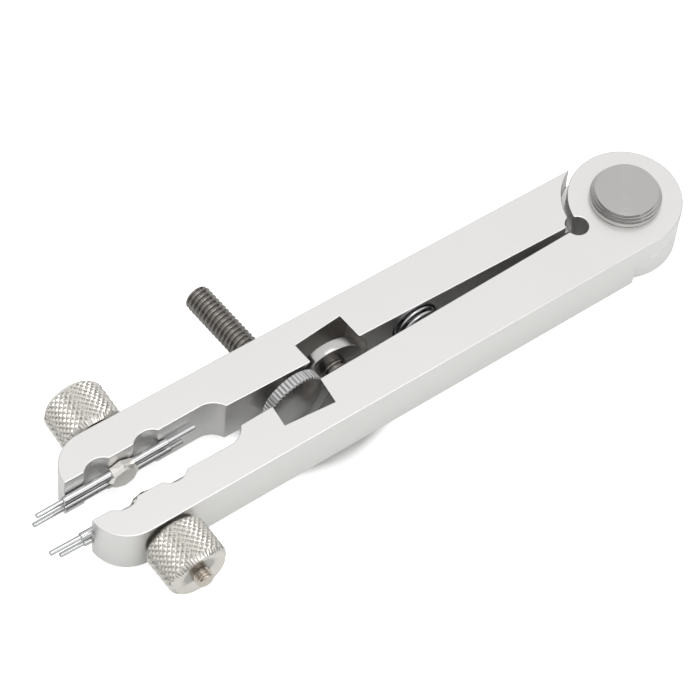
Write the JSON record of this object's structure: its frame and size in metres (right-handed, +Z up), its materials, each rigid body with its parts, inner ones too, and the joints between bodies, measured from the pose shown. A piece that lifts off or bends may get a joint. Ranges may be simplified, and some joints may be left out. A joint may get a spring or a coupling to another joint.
{
  "type": "spring-bar pliers",
  "caption": "Slim hinged pliers for watch bracelet pins: two flat satin arms on a round pivot, clamped double-ended tips, knurled thumb nuts and a screw-set opening stop.",
  "frame": {"origin": "pivot axis at the underside of the pivot screw's foot", "axes": "+X along the arms to the tips, +Y toward the right arm, +Z up along the pivot toward its round head"},
  "size_m": [0.1032, 0.0379, 0.0111],
  "materials": {
    "arm_satin": "pale satin nickel, fine bead-blasted faces with bright edges",
    "pivot_steel": "turned steel with fine concentric marks",
    "spring_steel": "bright spring wire",
    "dark_steel": "dark rolled thread with bright crests",
    "wheel_steel": "turned satin steel",
    "pin_steel": "polished steel",
    "nut_satin": "warm satin nickel, diamond knurl"
  },
  "bodies": {
    "left_arm": {"left_arm": "arm_satin", "pivot_pin": "pivot_steel", "pivot_screw": "pivot_steel", "opening_spring": "spring_steel"},
    "right_arm": {"right_arm": "arm_satin", "stop_stud": "dark_steel", "stop_disc": "wheel_steel"},
    "adjusting_rod": {"adjusting_rod": "dark_steel"},
    "adjusting_wheel": {"adjusting_wheel": "wheel_steel"},
    "left_thumb_nut": {"left_thumb_nut": "nut_satin"},
    "right_thumb_nut": {"right_thumb_nut": "nut_satin"},
    "left_clamp": {"left_clamp": "pin_steel"},
    "right_clamp": {"right_clamp": "pin_steel"},
    "left_upper_pin": {"left_upper_pin": "pin_steel"},
    "left_lower_pin": {"left_lower_pin": "pin_steel"},
    "right_upper_pin": {"right_upper_pin": "pin_steel"},
    "right_lower_pin": {"right_lower_pin": "pin_steel"}
  },
  "joints": [
    {"name": "arm_hinge", "type": "hinge", "parent": "left_arm", "child": "right_arm", "pos_m": [0, 0, 0.0052], "axis": [0, 0, 1], "range_deg": [-1.5, 0], "stiffness_Nm_per_rad": 0.65, "springref_deg": 6.59},
    {"name": "rod_feed", "type": "slide", "parent": "left_arm", "child": "adjusting_rod", "axis": [-0.0811, 0.9967, 0], "range_m": [0, 0.0014]},
    {"name": "wheel_turn", "type": "hinge", "parent": "adjusting_rod", "child": "adjusting_wheel", "pos_m": [0.05543, -0.00131, 0.0052], "axis": [-0.0811, 0.9967, 0], "range_deg": [0, 720]},
    {"name": "left_nut_turn", "type": "hinge", "parent": "left_arm", "child": "left_thumb_nut", "pos_m": [0.08058, -0.0019, 0.0052], "axis": [-0.0236, -0.9997, 0], "range_deg": [0, 360]},
    {"name": "left_clamp_release", "type": "slide", "parent": "left_arm", "child": "left_clamp", "axis": [0.0236, 0.9997, 0], "range_m": [0, 0.00045]},
    {"name": "left_upper_pin_slide", "type": "slide", "parent": "left_clamp", "child": "left_upper_pin", "axis": [0.9999, 0.0116, 0], "range_m": [-0.002, 0.004]},
    {"name": "left_lower_pin_slide", "type": "slide", "parent": "left_clamp", "child": "left_lower_pin", "axis": [0.9999, 0.0116, 0], "range_m": [-0.002, 0.004]},
    {"name": "right_nut_turn", "type": "hinge", "parent": "right_arm", "child": "right_thumb_nut", "pos_m": [0.08058, 0.0019, 0.0052], "axis": [-0.0236, 0.9997, 0], "range_deg": [0, 360]},
    {"name": "right_clamp_release", "type": "slide", "parent": "right_arm", "child": "right_clamp", "axis": [0.0236, -0.9997, 0], "range_m": [0, 0.00045]},
    {"name": "right_upper_pin_slide", "type": "slide", "parent": "right_clamp", "child": "right_upper_pin", "axis": [0.9999, -0.0116, 0], "range_m": [-0.002, 0.004]},
    {"name": "right_lower_pin_slide", "type": "slide", "parent": "right_clamp", "child": "right_lower_pin", "axis": [0.9999, -0.0116, 0], "range_m": [-0.002, 0.004]}
  ],
  "couplings": [
    {"joint": "wheel_turn", "follows": "rod_feed", "rad_per_m": 8976},
    {"joint": "left_nut_turn", "follows": "left_clamp_release", "rad_per_m": 13963},
    {"joint": "right_nut_turn", "follows": "right_clamp_release", "rad_per_m": 13963}
  ]
}
